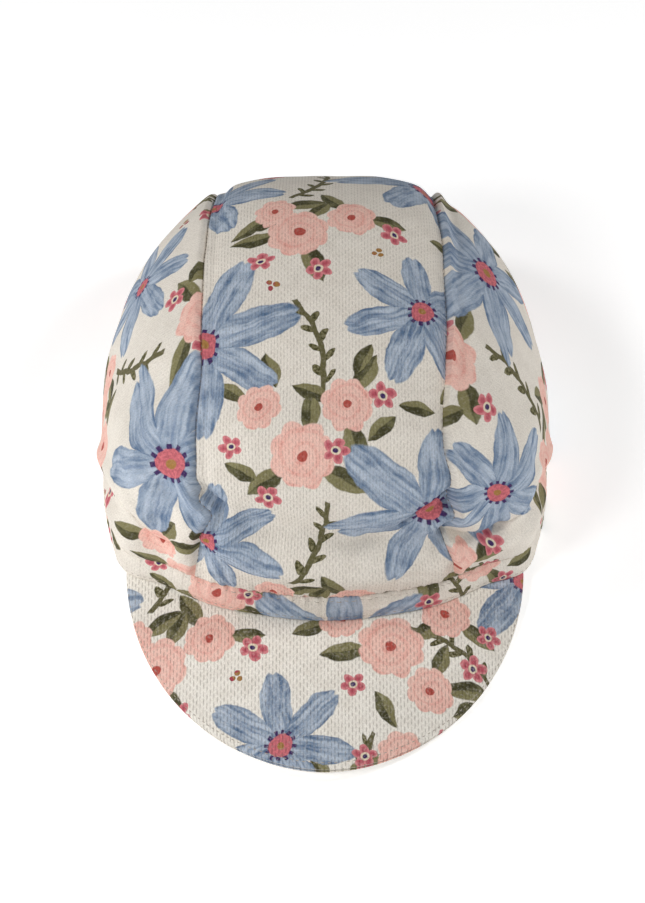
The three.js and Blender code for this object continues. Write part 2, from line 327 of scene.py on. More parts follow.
def dome_normal(along, step=1e-3):
    upright = np.abs(along[..., 2:3]) < 0.9
    helper = np.where(upright, np.array([0.0, 0.0, 1.0]), np.array([0.0, 1.0, 0.0]))
    across = unit(np.cross(helper, along))
    up = np.cross(along, across)
    slope_across, slope_up = (
        dome_point(unit(along + way * step)) - dome_point(unit(along - way * step))
        for way in (across, up)
    )
    return unit(np.cross(slope_across, slope_up))


def line_of(path):
    rows = np.radians(np.array(path, float))
    return dome_point(direction(rows[:, 0], rows[:, 1]))


def crease_line(path):
    """The path in short steps that follow the dome, with its corners rounded."""
    rows = np.array(path, float)
    at = np.linspace(0, len(rows) - 1, 7 * (len(rows) - 1) + 1)
    fine = np.stack([np.interp(at, np.arange(len(rows)), rows[:, k]) for k in (0, 1)], -1)
    for _ in range(4):
        fine[1:-1] = (fine[:-2] + 2 * fine[1:-1] + fine[2:]) / 4
    return line_of(fine)


def distance_to(points, line):
    least = np.full(points.shape[:-1], np.inf)
    for start, end in zip(line[:-1], line[1:]):
        way = end - start
        share = np.clip(((points - start) @ way) / (way @ way), 0, 1)
        gap = np.linalg.norm(points - start - share[..., None] * way, axis=-1)
        least = np.minimum(least, gap)
    return least


def ripple(points, length, seed, waves=6):
    """Smooth waves of about one length in mixed directions, from -1 to 1."""
    rng = np.random.default_rng(seed)
    total = np.zeros(points.shape[:-1])
    for _ in range(waves):
        way = unit(rng.normal(size=3)) * 2 * math.pi / (length * rng.uniform(0.75, 1.35))
        total += np.sin(points @ way + rng.uniform(0, 2 * math.pi))
    return total / waves**0.5 / 1.6


def gathers(azimuth, height):
    """Short puckers just above the band, and the pinch where its stitches pull the cloth in."""
    arc = azimuth * CROWN_ARC_RADIUS
    wave = wander(arc, 1.13, (1.4, 0.21, 0), (0.9, 0.087, 2))
    wave = wave + 0.7 * wander(arc, 2.07, (2.2, 0.13, 1)) + 0.5 * np.sin(arc * 0.47 + 1)
    near_band = np.exp(-height / GATHER_HEIGHT) * (1 - np.exp(-height / 1.2))
    pinch = (-0.9 - 0.3 * wander(arc, 2.9, (1, 0.3, 0))) * bell(height, 1.0)
    return (GATHER_DEPTH * wave * near_band + pinch) * gathered_share(azimuth, 0.3)


def stand_off(along, point):
    """How far the cloth stands off the plain dome: puff, waves, soft folds, creases and gathers."""
    azimuth = azimuth_of(along)
    height = np.maximum(point[..., 2] - foot_height(azimuth), 0)
    rise = height / PUFF_HEIGHT
    folded = 0.55 * ripple(point, 46, 3) + 0.16 * ripple(point, 17, 4)
    for path, lift, width in SOFT_FOLDS:
        folded = folded + lift * bell(distance_to(point, line_of(path)), width)
    for path, lift, width in CREASES:
        gap = distance_to(point, crease_line(path)) / width
        folded = folded + lift * np.exp(-gap * np.sqrt(1 + gap**2) / (1 + 0.3 * gap))
    foot_fade = 1 - np.exp(-4 * rise**2)
    return PUFF_DEPTH * rise * np.exp(1 - rise) + folded * foot_fade + gathers(azimuth, height)


def seam_half_width(side, angle):
    pulled = 0.0
    for pulled_side, at, below, above, pull in SEAM_PULLS:
        if pulled_side == side:
            pulled = pulled + pull * bell(angle - at, np.where(angle < at, below, above))
    return CENTRE_HALF_WIDTH * between(SEAM_SHARES, angle) + pulled


def direction_at(offset, over):
    """The direction in which the dome is the given distance from its middle plane."""
    offset, over = np.broadcast_arrays(offset, over)
    near, far = np.zeros(offset.shape), np.full(offset.shape, math.pi / 2)
    for _ in range(40):
        middle = (near + far) / 2
        short = dome_point(direction_over(middle, over))[..., 0] < np.abs(offset)
        near = np.where(short, middle, near)
        far = np.where(short, far, middle)
    return direction_over(np.sign(offset) * near, over)


def steps_over(count):
    """Angles over the crown with finer steps at the front, and the length of cloth up to each."""
    trial = np.linspace(0, math.pi, 1500)
    line = dome_point(direction_over(np.zeros_like(trial), trial))
    step = np.linalg.norm(np.diff(line, axis=0), axis=1)
    length = np.concatenate([[0], np.cumsum(step)])
    finer = 0.8 + 1.0 / (1 + np.exp((np.degrees(trial[1:]) - 72) / 9))
    spread = np.concatenate([[0], np.cumsum(step * finer)])
    angles = np.interp(np.linspace(0, spread[-1], count + 1), spread, trial)
    return angles, np.interp(angles, trial, length)


def seam_points(side, over):
    return direction_at(side * seam_half_width(side, np.degrees(over)), over)


OVER, OVER_LENGTH = steps_over(SEAM_ROWS)
SEAM_LINE = {side: dome_point(seam_points(side, OVER)) for side in (-1, 1)}


def seam_relief(point, side, on_side_panel):
    """Both panels dip into the seam, and the side panel stands up beside it over its turned edge."""
    depth = SEAM_DEPTH[side]
    gap = distance_to(point, SEAM_LINE[side])
    height = np.maximum(point[..., 2] - foot_height(azimuth_of(point)), 0)
    valley = bell(gap, SEAM_VALLEY_WIDTH)
    pucker = np.sin(point[..., 1] * 0.83 + point[..., 2] * 0.61 + 1.3 * np.sin(point[..., 1] * 0.17))
    if on_side_panel:
        rise, width, far_dip = SEAM_EDGES[side]
        relief = rise * bell(gap, width) - (depth + rise) * valley
        relief = relief + 0.1 * pucker * (bell(gap, 5.5) - valley)
        relief = relief - far_dip * bell(gap - 7, 2.6)
    else:
        dip, place, width = SEAM_DIPS[side]
        relief = -dip * bell(gap - place, width) - (depth - dip * bell(place, width)) * valley
        relief = relief + 0.12 * pucker * (bell(gap, 4.0) - valley)
    return relief * (1 - bell(height, SEAM_FOOT_FADE))


def crown_sheet(along, feet, relief):
    """Outer and inner face of the crown's cloth at these directions; the feet keep their height."""
    normal = dome_normal(along)
    outer = dome_point(along)
    outer = outer + normal * (stand_off(along, outer) + relief(outer))[..., None]
    level = unit(normal * np.array([1.0, 1.0, 0.0]))
    inward = np.where(feet[..., None], level, normal)
    return outer, outer - inward * CLOTH_THICKNESS


# The tables' origin is the middle of the rim, and it is placed by the back of the frame's band
BAND_LOW, BAND_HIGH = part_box("rim_band")
ORIGIN = np.array([0.0, BAND_HIGH.y / MM - RIM_BACK_LENGTH, BAND_LOW.z / MM])


def placed(points):
    return (points + ORIGIN) * MM


def grid_faces(columns, rows, start, loop=False, flip=False):
    count = columns if loop else columns - 1
    i, j = np.meshgrid(np.arange(count), np.arange(rows - 1), indexing="ij")
    low = i * rows + j + start
    after = (i + 1) % columns * rows + j + start
    quads = np.stack([low, after, after + 1, low + 1], -1).reshape(-1, 4)
    return quads[:, ::-1] if flip else quads


def border(columns, rows, loop):
    """Index of the vertices round the edge of a grid, as closed rings."""
    if loop:
        i = np.arange(columns)
        return [i * rows, (i * rows + rows - 1)[::-1]]
    low = np.arange(columns) * rows
    right = (columns - 1) * rows + np.arange(1, rows)
    high = (np.arange(columns - 1) * rows + rows - 1)[::-1]
    left = np.arange(1, rows - 1)[::-1]
    return [np.concatenate([low, right, high, left])]


def lay_flat(mesh, cloth, loop):
    """Gives each corner of the mesh its place on the flat cloth, also where a loop closes."""
    corners = np.empty(len(mesh.loops), dtype=np.int32)
    mesh.loops.foreach_get("vertex_index", corners)
    places = np.concatenate([cloth.reshape(-1, 2)] * 2)[corners].reshape(-1, 4, 2)
    if loop:
        half_way_round = math.pi * BAND_CLOTH_RADIUS
        closing = np.ptp(places[:, :, 0], axis=1) > half_way_round
        turned = closing[:, None] & (places[:, :, 0] < 0)
        places[:, :, 0] += np.where(turned, 2 * half_way_round, 0)
    layer = mesh.uv_layers.new(name="cloth")
    layer.data.foreach_set("uv", places.astype(np.float32).ravel())


def point_value(mesh, name, values):
    attribute = mesh.attributes.new(name, "FLOAT", "POINT")
    attribute.data.foreach_set("value", values.astype(np.float32))


def new_object(name, data):
    piece = bpy.data.objects.new(name, data)
    bpy.context.scene.collection.objects.link(piece)
    return piece


def cloth_object(name, outer, inner, cloth, loop=False, eyelets=1.0):
    """A closed wall between two grids; cloth is the place of each point on the flat cloth."""
    columns, rows = outer.shape[:2]
    count = columns * rows
    points = np.concatenate([outer.reshape(-1, 3), inner.reshape(-1, 3)])
    faces = [grid_faces(columns, rows, 0, loop), grid_faces(columns, rows, count, loop, True)]
    for ring in border(columns, rows, loop):
        after = np.roll(ring, -1)
        faces.append(np.stack([ring, ring + count, after + count, after], -1))
    mesh = bpy.data.meshes.new(name)
    mesh.from_pydata(placed(points).tolist(), [], np.concatenate(faces).tolist())
    lay_flat(mesh, cloth, loop)
    point_value(mesh, "inside", np.repeat([0.0, 1.0], count))
    point_value(mesh, "eyelets", np.full(count * 2, eyelets))
    body = bmesh.new()
    body.from_mesh(mesh)
    bmesh.ops.remove_doubles(body, verts=body.verts, dist=2e-6)
    bmesh.ops.dissolve_degenerate(body, edges=body.edges, dist=1e-7)
    bmesh.ops.recalc_face_normals(body, faces=body.faces)
    for face in body.faces:
        face.smooth = True
    for edge in body.edges:
        if len(edge.link_faces) == 2 and edge.calc_face_angle() > SHARP_ANGLE:
            edge.smooth = False
    body.to_mesh(mesh)
    body.free()
    return new_object(name, mesh)


# Shells of cloth: each function gives the outer and inner faces and the places on the flat cloth


def crown_centre():
    across = np.linspace(-1, 1, CENTRE_COLUMNS + 1)[:, None]
    degrees = np.degrees(OVER)[None, :]
    half = np.where(across < 0, seam_half_width(-1, degrees), seam_half_width(1, degrees))
    along = direction_at(across * (half - SEAM_SPLIT), np.broadcast_to(OVER, half.shape))
    feet = np.zeros(along.shape[:-1], bool)
    feet[:, [0, -1]] = True

    def relief(point):
        at_left, at_right = (seam_relief(point, side, on_side_panel=False) for side in (-1, 1))
        return np.where(point[..., 0] < 0, at_left, at_right)

    outer, inner = crown_sheet(along, feet, relief)
    along_cloth = np.broadcast_to(OVER_LENGTH[None, :], half.shape)
    cloth = np.stack([across * half * CENTRE_CLOTH_EASE, along_cloth], -1)
    return outer, inner, cloth


def crown_side(side):
    seam = direction_at(side * (seam_half_width(side, np.degrees(OVER)) + SEAM_SPLIT), OVER)
    azimuth = azimuth_of(seam)
    share = (OVER / math.pi)[:, None]
    foot = azimuth[0] + (azimuth[-1] - azimuth[0]) * share
    # The rows are closer together where the folds are
    trial = np.linspace(0, 1, 400)
    spread = np.cumsum(1 + 2.4 * bell(trial - 0.27, 0.15))
    spread = (spread - spread[0]) / (spread[-1] - spread[0])
    up = np.interp(np.linspace(0, 1, SIDE_ROWS + 1), spread, trial)[None, :]
    along = direction(foot + (azimuth[:, None] - foot) * up, np.arcsin(seam[:, 2:3]) * up)
    feet = np.zeros(along.shape[:-1], bool)
    feet[:, 0] = True
    feet[[0, -1], :] = True
    outer, inner = crown_sheet(along, feet, lambda point: seam_relief(point, side, on_side_panel=True))
    # The panel is laid flat round its middle, with true distances from there
    middle = direction(np.radians(side * SIDE_MIDDLE[0]), np.radians(SIDE_MIDDLE[1]))
    reach = SIDE_CLOTH_RADIUS * np.arccos(np.clip(along @ middle, -1, 1))
    east = unit(np.cross(np.array([0, 0, 1.0]), middle)) * side
    north = np.cross(middle, east) * side
    bearing = np.arctan2(along @ north, along @ east)
    u = side * (reach * np.cos(bearing) + SIDE_PRINT_SHIFT[0])
    cloth = np.stack([u, reach * np.sin(bearing) + SIDE_PRINT_SHIFT[1]], -1)
    if side < 0:
        return outer[::-1], inner[::-1], cloth[::-1]
    return outer, inner, cloth


def rim_band():
    azimuth = np.linspace(-math.pi, math.pi, BAND_COLUMNS, endpoint=False)[:, None]
    up = np.linspace(0, 1, BAND_ROWS + 1)[None, :]
    arc = azimuth * BAND_ARC_RADIUS
    front = gathered_share(azimuth, 0.2)
    roll = -BAND_ROLL * bell(up, 0.09) - BAND_TOP_ROLL * bell(1 - up, 0.08) * front
    low_stitch, top_stitch = BAND_STITCH_HEIGHTS
    stitched = -0.3 * bell(up - low_stitch, 0.06) - 0.45 * bell(up - top_stitch, 0.06) * front
    pucker = wander(arc, 1.25, (1.7, 0.19, 0)) + 0.7 * wander(arc, 2.3, (2, 0.11, 1))
    waves = pucker * (0.07 + 0.3 * bell(1 - up, 0.2) * front)
    place = np.stack(np.broadcast_arrays(arc / 9, up * 12, 0.0), -1)
    drag = 0.22 * ripple(place, 2.6, 11) * front * np.sin(math.pi * up)
    soft = 0.35 * np.sin(math.pi * up) + drag
    radius = rim_radius(azimuth) - band_lean(azimuth) * up
    height = rim_height(azimuth) + band_height(azimuth) * up
    outer = polar(azimuth, radius + roll + stitched + waves + soft, height)
    inner = polar(azimuth, radius - BAND_THICKNESS, height)
    shift_u, shift_v = BAND_PRINT_SHIFT
    cloth = [azimuth * BAND_CLOTH_RADIUS + shift_u, BAND_HEIGHT * up + shift_v]
    return outer, inner, np.stack(np.broadcast_arrays(*cloth), -1)


def peak_point(along, out):
    """The peak's upper face, from the edge sewn under the band to the free edge."""
    turn = math.radians(PEAK_END_AZIMUTH)
    end = polar(turn, rim_radius(turn) - PEAK_END_TUCK, rim_height(turn) - 2 * SEAM_GAP)
    azimuth = along * math.radians(PEAK_SEWN_AZIMUTH)
    sewn = polar(azimuth, rim_radius(azimuth) - BAND_THICKNESS, rim_height(azimuth) - SEAM_GAP)
    side_share = np.sin(along * math.pi / 2)
    forward = (1 - np.abs(side_share) ** PEAK_ROUNDNESS) ** (1 / PEAK_ROUNDNESS)
    arched = PEAK_REST_GAP + PEAK_STACK + PEAK_ARCH * between(ARCH_SHARES, np.abs(side_share))
    end_rise = between(END_RISE_SHARES, np.abs(side_share))
    free = np.stack([
        end[0] * side_share,
        end[1] + (-RIM_FRONT_LENGTH - PEAK_LENGTH - end[1]) * forward,
        arched + (end[2] - arched) * end_rise,
    ], -1)
    bulge = PEAK_BULGE * 4 * out * (1 - out) * forward
    point = sewn + (free - sewn) * out[..., None]
    point[..., 2] += bulge
    return point


def peak_normal(along, out, step=0.01):
    inside = np.clip(along, step - 1, 1 - step)
    across = peak_point(inside + step, out) - peak_point(inside - step, out)
    outward = peak_point(inside, out + step) - peak_point(inside, out - step)
    return unit(np.cross(outward, across))


def peak_cloth(depth, thickness, lap, topmost):
    """One cloth of the peak, some depth under its upper face; only the topmost has relief."""
    angle = np.linspace(-1, 1, PEAK_COLUMNS + 1)
    along = np.sign(angle) * (1 - (1 - np.abs(angle)) ** 1.12)
    out = 1 - np.linspace(0, 1, PEAK_ROWS + 1)
    along, out = np.meshgrid(along, out, indexing="ij")
    normal = peak_normal(along, out)
    face = peak_point(along, out)
    free = peak_point(along, np.ones_like(out))
    edge = np.linalg.norm(face - free, axis=-1)
    upper = face - normal * depth
    upper[..., 1] -= lap * bell(edge, 1.2)
    lower = upper - normal * thickness
    if topmost:
        relief = -0.55 * bell(edge, 0.8) - 0.18 * bell(edge - PEAK_STITCH_INSET, 0.5)
        relief = relief + 0.16 * ripple(face, 26, 8) * np.sin(math.pi * np.clip(out, 0, 1))
        upper = upper + normal * relief[..., None]
    return upper, lower, face[..., :2] + np.array(PEAK_PRINT_SHIFT)


centre_shell = crown_centre()
band_shell = rim_band()
peak_shell = peak_cloth(depth=0, thickness=PEAK_CLOTH_THICKNESS, lap=0, topmost=True)
lining_depth = PEAK_CLOTH_THICKNESS + SEAM_GAP
lining_shell = peak_cloth(lining_depth, PEAK_LINING, PEAK_RIM_LAP, topmost=False)
centre = cloth_object("crown_centre_cloth", *centre_shell)
left = cloth_object("crown_left_cloth", *crown_side(-1), eyelets=SIDE_EYELETS)
right = cloth_object("crown_right_cloth", *crown_side(1), eyelets=SIDE_EYELETS)
band = cloth_object("rim_band_cloth", *band_shell, loop=True, eyelets=BAND_EYELETS)
peak = cloth_object("peak_top_cloth", *peak_shell)
under = cloth_object("peak_underside_cloth", *lining_shell)


# Stitches: short threads that lie in a row on the cloth

# Place and width of the rings along a thread, as shares; its arch; and the reach that gives its way
THREAD_SIDES = 6
THREAD_TURNS = np.linspace(0, 2 * math.pi, THREAD_SIDES, endpoint=False)
THREAD_RINGS = [(-0.5, 0.35), (-0.36, 0.95), (0.0, 1.0), (0.36, 0.95), (0.5, 0.35)]
THREAD_ARCH = 5.6
THREAD_REACH = 0.4

# Length, pitch, radius and how deep the thread lies in the cloth
BAND_STITCH = (1.9, 2.9, 0.17, 0.12)
FOOT_STITCH = (1.7, 2.6, 0.16, 0.14)
SEAM_STITCH = (1.3, 2.4, 0.2, 0.0)
SEAM_STITCH_SINK = 0.1
TOP_STITCH_AZIMUTHS = (-34, 36)
PEAK_STITCH = (1.5, 2.3, 0.15, 0.05)


def thread_points(middle, way, normal, length, radius, sink):
    """The rings of one thread, which arches a little and dips into the cloth at both ends."""
    side = np.cross(way, normal)
    points = []
    for share, width in THREAD_RINGS:
        arch = radius * (0.5 - THREAD_ARCH * share**2) - sink
        ring = middle + way * share * length + normal * arch
        for angle in THREAD_TURNS:
            away = side * math.cos(angle) + normal * math.sin(angle)
            points.append(ring + away * radius * width)
    return points


def thread_faces(start):
    faces = []
    for first in range(start, start + (len(THREAD_RINGS) - 1) * THREAD_SIDES, THREAD_SIDES):
        for k in range(THREAD_SIDES):
            a, b = first + k, first + (k + 1) % THREAD_SIDES
            faces.append((a, b, b + THREAD_SIDES, a + THREAD_SIDES))
    last = start + (len(THREAD_RINGS) - 1) * THREAD_SIDES
    faces.append(tuple(range(start + THREAD_SIDES - 1, start - 1, -1)))
    faces.append(tuple(range(last, last + THREAD_SIDES)))
    return faces


def thread_object(name, runs):
    """Each run is a line of points, the way out of the cloth at each, and the kind of stitch."""
    points, faces = [], []
    for line, out, (length, pitch, radius, sink) in runs:
        reach = np.concatenate([[0], np.cumsum(np.linalg.norm(np.diff(line, axis=0), axis=1))])

        def at(rows, distance):
            return np.array([np.interp(distance, reach, rows[:, k]) for k in range(3)])

        for middle in np.arange(pitch / 2, reach[-1], pitch):
            way = unit(at(line, middle + THREAD_REACH) - at(line, middle - THREAD_REACH))
            normal = unit(at(out, middle))
            faces += thread_faces(len(points))
            points += thread_points(at(line, middle), way, normal, length, radius, sink)
    mesh = bpy.data.meshes.new(name)
    mesh.from_pydata(placed(np.array(points)).tolist(), [], faces)
    mesh.polygons.foreach_set("use_smooth", [True] * len(faces))
    return new_object(name, mesh)


def row_across(outer, row, first=0, last=None):
    """A row of a grid of points, with the way out of the cloth at each."""
    line = outer[first:last, row]
    up = outer[first:last, row + 1] - outer[first:last, row - 1]
    return line, unit(np.cross(np.gradient(line, axis=0), up))


def band_runs():
    """Along the top of the band in front, all round its low edge, and along the crown's foot."""
    degrees_round = np.linspace(-180, 180, BAND_COLUMNS, endpoint=False)
    first, last = np.searchsorted(degrees_round, TOP_STITCH_AZIMUTHS)
    low_row, top_row = (int(round(BAND_ROWS * share)) for share in BAND_STITCH_HEIGHTS)
    return [
        row_across(band_shell[0], top_row, first, last) + (BAND_STITCH,),
        row_across(band_shell[0], low_row) + (BAND_STITCH,),
        row_across(centre_shell[0], 2) + (FOOT_STITCH,),
    ]


def seam_run(side, ends=14):
    """The row at the bottom of a seam, which stops short of both feet."""
    along = seam_points(side, OVER)
    normal = dome_normal(along)
    dome = dome_point(along)
    depth = SEAM_DEPTH[side] + SEAM_STITCH_SINK
    line = dome + normal * (stand_off(along, dome) - depth)[:, None]
    return line[ends:-ends], normal[ends:-ends], SEAM_STITCH


def peak_run(ends=6):
    """The row along the peak's free edge."""
    middle_column = peak_shell[0][PEAK_COLUMNS // 2]
    from_edge = np.linalg.norm(middle_column - middle_column[0], axis=-1)
    edge_row = int(np.searchsorted(from_edge, PEAK_STITCH_INSET))
    line, out = row_across(peak_shell[0], edge_row, ends, -ends)
    return line, out * np.sign(out[len(out) // 2, 2]), PEAK_STITCH


band_threads = thread_object("rim_band_stitches", band_runs())
seam_threads = thread_object("crown_seam_stitches", [seam_run(-1), seam_run(1)])
peak_threads = thread_object("peak_stitches", [peak_run()])

for piece, slot in (
    (band_threads, "crown_knit"),
    (seam_threads, "crown_knit"),
    (peak_threads, "peak_knit"),
):
    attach(piece, "root")

for piece, node, slot in (
    (centre, "crown_centre", "crown_knit"),
    (left, "crown_left", "crown_knit"),
    (right, "crown_right", "crown_knit"),
    (band, "rim_band", "crown_knit"),
    (peak, "peak_top", "peak_knit"),
    (under, "peak_underside", "peak_knit"),
):
    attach(piece, "root")
    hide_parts(node)


# Print: a small charted repeat, drawn by the material itself
# A row is a motif's place, its radius or half length, and its turn, or its leaves' turns

TILE = 170.0
BLOOMS = [(40, 42, 43, 12), (124, 112, 41, 40), (126, 28, 31, 5), (36, 124, 33, 70)]
ROSETTES = [
    (74, 87, 12.2, (20, 150, 265)), (94, 73, 9.4, (-60, 50)), (76, 163, 12.6, (30, 190)),
    (96, 8, 9.6, (-30, 100)), (90, 147, 9, (70, 10)), (162, 66, 12.2, (80, 215, -30)),
    (8, 84, 9.8, (160, 60, -80)), (160, 160, 12.2, (60, 180, -70)), (10, 168, 9.6, (0, 120)),
    (84, 35, 9.2, (100, -80)), (80, 121, 9.8, (200, -20)), (151, 3, 8.2, (210, 20)),
    (57, 103, 8.6, (120, 230)), (146, 84, 8.6, (150,)), (58, 4, 8.4, (200, 90)),
]
STARLETS = [
    (61, 88, 5.4, 10), (50, 92, 4.8, 40), (104, 60, 5, 0), (92, 97, 5.6, 30), (62, 147, 5.2, 15),
    (106, 158, 5.6, 50), (149, 50, 5.2, 20), (136, 70, 5, 5), (21, 88, 5.6, 60), (4, 68, 5, 30),
    (146, 147, 5.4, 45), (168, 141, 5.6, 5), (26, 163, 5.4, 25), (82, 17, 5.4, 0), (97, 130, 5, 35),
    (72, 62, 5.2, 10), (112, 2, 4.6, 25), (66, 120, 4.8, 55),
]
SPRIGS = [
    (84, 58, 19, 8), (61, 114, 18, -35), (166, 108, 20, 15), (166, 30, 20, -20), (98, 164, 18, 60),
]
BERRIES = [(101, 46, 3.0, 0), (66, 73, 2.8, 40), (20, 152, 2.8, 20), (150, 134, 3.0, 70)]
LOOSE_LEAVES = [
    (66, 30, 8, 20), (66, 14, 7.5, -50), (104, 88, 8, -35), (150, 98, 8, 15),
    (14, 101, 7.5, -25), (140, 60, 7.5, 60), (112, 68, 7, 100), (74, 138, 7.5, 30),
    (146, 168, 7.5, 80), (20, 76, 7, 130), (104, 142, 7, -60), (34, 84, 7, 80),
]
LEAF_HALF_WIDTH = 0.42
LEAFLET_PITCH = 0.42
LEAFLET_SLANT = math.radians(42)
BLOOM_PETALS = 7
BLOOM_STAMENS = 12
ROSETTE_SCALLOPS = 8
STARLET_PETALS = 5
BERRIES_TOGETHER = 3


def leaf_rows():
    """Leaves stand round the rosettes, each along the line out from the flower's middle."""
    rows = list(LOOSE_LEAVES)
    for x, y, radius, angles in ROSETTES:
        for number, angle in enumerate(angles):
            half = 6.2 + 1.0 * (number % 3) + 0.14 * radius
            reach = radius + 0.5 * half
            turn = math.radians(angle)
            rows.append((x + reach * math.cos(turn), y + reach * math.sin(turn), half, angle - 90))
    return rows


def linear(red, green, blue):
    parts = [c / 255 for c in (red, green, blue)]
    return tuple(c / 12.92 if c < 0.04045 else ((c + 0.055) / 1.055) ** 2.4 for c in parts) + (1.0,)


def plain(name, colour):
    material = bpy.data.materials.new(name)
    material.use_nodes = True
    shader = material.node_tree.nodes["Principled BSDF"]
    shader.inputs["Base Color"].default_value = colour
    shader.inputs["Roughness"].default_value = 0.9
    return material


class Paint:
    """Builds a material's node tree from plain calls; values may be numbers or sockets."""

    def __init__(self, name):
        self.material = bpy.data.materials.new(name)
        self.material.use_nodes = True
        self.nodes = self.material.node_tree.nodes
        self.links = self.material.node_tree.links
        self.shader = self.nodes["Principled BSDF"]

    def put(self, socket, value):
        if isinstance(value, bpy.types.NodeSocket):
            self.links.new(value, socket)
        else:
            socket.default_value = value

    def feed(self, node, *values):
        """Puts the values into the node's first sockets, in their order."""
        for socket, value in zip(node.inputs, values):
            self.put(socket, value)

    def maths(self, operation, *values, clamp=False):
        node = self.nodes.new("ShaderNodeMath")
        node.operation = operation
        node.use_clamp = clamp
        self.feed(node, *values)
        return node.outputs[0]

    def times(self, first, second):
        return self.maths("MULTIPLY", first, second)

    def plus(self, first, second):
        return self.maths("ADD", first, second)

    def minus(self, first, second):
        return self.maths("SUBTRACT", first, second)

    def absolute(self, value):
        return self.maths("ABSOLUTE", value)

    def vector(self, operation, *values):
        node = self.nodes.new("ShaderNodeVectorMath")
        node.operation = operation
        self.feed(node, *values)
        return node.outputs["Value" if operation in ("LENGTH", "DOT_PRODUCT") else "Vector"]

    def parts(self, place):
        node = self.nodes.new("ShaderNodeSeparateXYZ")
        self.put(node.inputs[0], place)
        return node.outputs[0], node.outputs[1]

    def joined(self, x, y, z=0.0):
        node = self.nodes.new("ShaderNodeCombineXYZ")
        self.feed(node, x, y, z)
        return node.outputs[0]

    def noise(self, place, scale, detail=2.0, colour=False):
        node = self.nodes.new("ShaderNodeTexNoise")
        self.put(node.inputs["Vector"], place)
        node.inputs["Scale"].default_value = scale
        node.inputs["Detail"].default_value = detail
        return node.outputs["Color" if colour else 0]

    def ramp(self, value, low, high, start=0.0, end=1.0):
        """Smoothly from start to end as the value goes from low to high."""
        node = self.nodes.new("ShaderNodeMapRange")
        node.interpolation_type = "SMOOTHSTEP"
        self.feed(node, value, low, high, start, end)
        return node.outputs[0]

    def fall(self, value, low, high):
        """Smoothly from 1 to 0 as the value goes from low to high."""
        return self.ramp(value, low, high, 1.0, 0.0)

    def mix(self, share, first, second, kind="Color", blend="MIX"):
        node = self.nodes.new("ShaderNodeMix")
        node.data_type = "RGBA" if kind == "Color" else kind.upper()
        node.blend_type = blend
        by_name = {socket.identifier: socket for socket in node.inputs}
        self.put(by_name["Factor_Float"], share)
        self.put(by_name["A_" + kind], first)
        self.put(by_name["B_" + kind], second)
        return next(socket for socket in node.outputs if socket.identifier == "Result_" + kind)

    def nearest(self, place, rows, width=1.0):
        """The place inside the nearest motif, in units of its size, how far out, and its number."""
        best = reach = number = None
        half = TILE / 2
        for i, (x, y, size, turn) in enumerate(rows):
            moved = self.vector("SUBTRACT", place, (x, y, 0))
            moved = self.vector("WRAP", moved, (half, half, 1), (-half, -half, -1))
            c, s = math.cos(math.radians(turn)) / size, math.sin(math.radians(turn)) / size
            across = self.vector("DOT_PRODUCT", moved, (c / width, s / width, 0))
            here = self.joined(across, self.vector("DOT_PRODUCT", moved, (-s, c, 0)))
            out = self.vector("LENGTH", here)
            if best is None:
                best, reach, number = here, out, 0.0
                continue
            closer = self.maths("LESS_THAN", out, reach)
            best = self.mix(closer, best, here, "Vector")
            reach = self.maths("MINIMUM", out, reach)
            if len(rows) <= len(BLOOMS):
                number = self.mix(closer, number, float(i), "Float")
        return best, reach, number

    def petals(self, place, count, number=0.0):
        """Along and across a flower's nearest petal, the petal's number, and the angle off it."""
        x, y = self.parts(place)
        turn = self.times(self.maths("ARCTAN2", y, x), count / (2 * math.pi))
        petal = self.maths("FLOOR", turn)
        angle = self.times(self.minus(self.minus(turn, petal), 0.5), 2 * math.pi / count)
        out = self.vector("LENGTH", place)
        along = self.times(out, self.maths("COSINE", angle))
        across = self.times(out, self.maths("SINE", angle))
        return along, across, self.maths("MULTIPLY_ADD", number, 7.3, petal), angle

    def hashed(self, value):
        node = self.nodes.new("ShaderNodeTexWhiteNoise")
        node.noise_dimensions = "1D"
        self.put(node.inputs["W"], value)
        return node.outputs["Value"]

    def oval(self, along, across, middle, half_length, half_width):
        """1 at an oval's edge, less inside it."""
        a = self.maths("DIVIDE", self.minus(along, middle), half_length)
        b = self.maths("DIVIDE", across, half_width)
        return self.maths("MULTIPLY_ADD", a, a, self.times(b, b))

    def value_of(self, name):
        """A value that the piece's points carry."""
        node = self.nodes.new("ShaderNodeAttribute")
        node.attribute_name = name
        return node.outputs["Fac"]


CREAM = linear(242, 235, 224)
# Painted light: the peak's cream is lighter than the crown's, standing in for the stronger light that
# falls on the peak
LIT_PEAK_CREAM = linear(252, 247, 237)
PALE_BLUE = linear(194, 206, 221)
DEEP_BLUE = linear(96, 121, 152)
PEACH = linear(250, 205, 191)
DEEP_PEACH = linear(238, 165, 152)
ROSE = linear(222, 124, 132)
DEEP_ROSE = linear(176, 68, 84)
OLIVE = linear(133, 127, 88)
DARK_OLIVE = linear(69, 67, 39)
BARK = linear(104, 99, 66)
PURPLE = linear(66, 44, 96)
OCHRE = linear(172, 128, 70)
LINING = linear(226, 220, 210)
SHADED_CREAM = linear(221, 212, 199)
PALE_OLIVE = linear(148, 144, 104)
RIB_OLIVE = linear(70, 68, 42)
VEIN_BLUE = linear(86, 114, 158)
BRICK = linear(188, 84, 74)
INNER_ROSE = linear(192, 88, 102)
OUTER_ROSE = linear(230, 146, 150)
SAND = linear(238, 222, 196)
PALE_THREAD = linear(176, 165, 152)
DARK_THREAD = linear(138, 126, 114)
WEAVE_SHADE = (0.84, 0.832, 0.825, 1)
EYELET_SHADE = (0.42, 0.39, 0.37, 1)
WHITE = (1, 1, 1, 1)


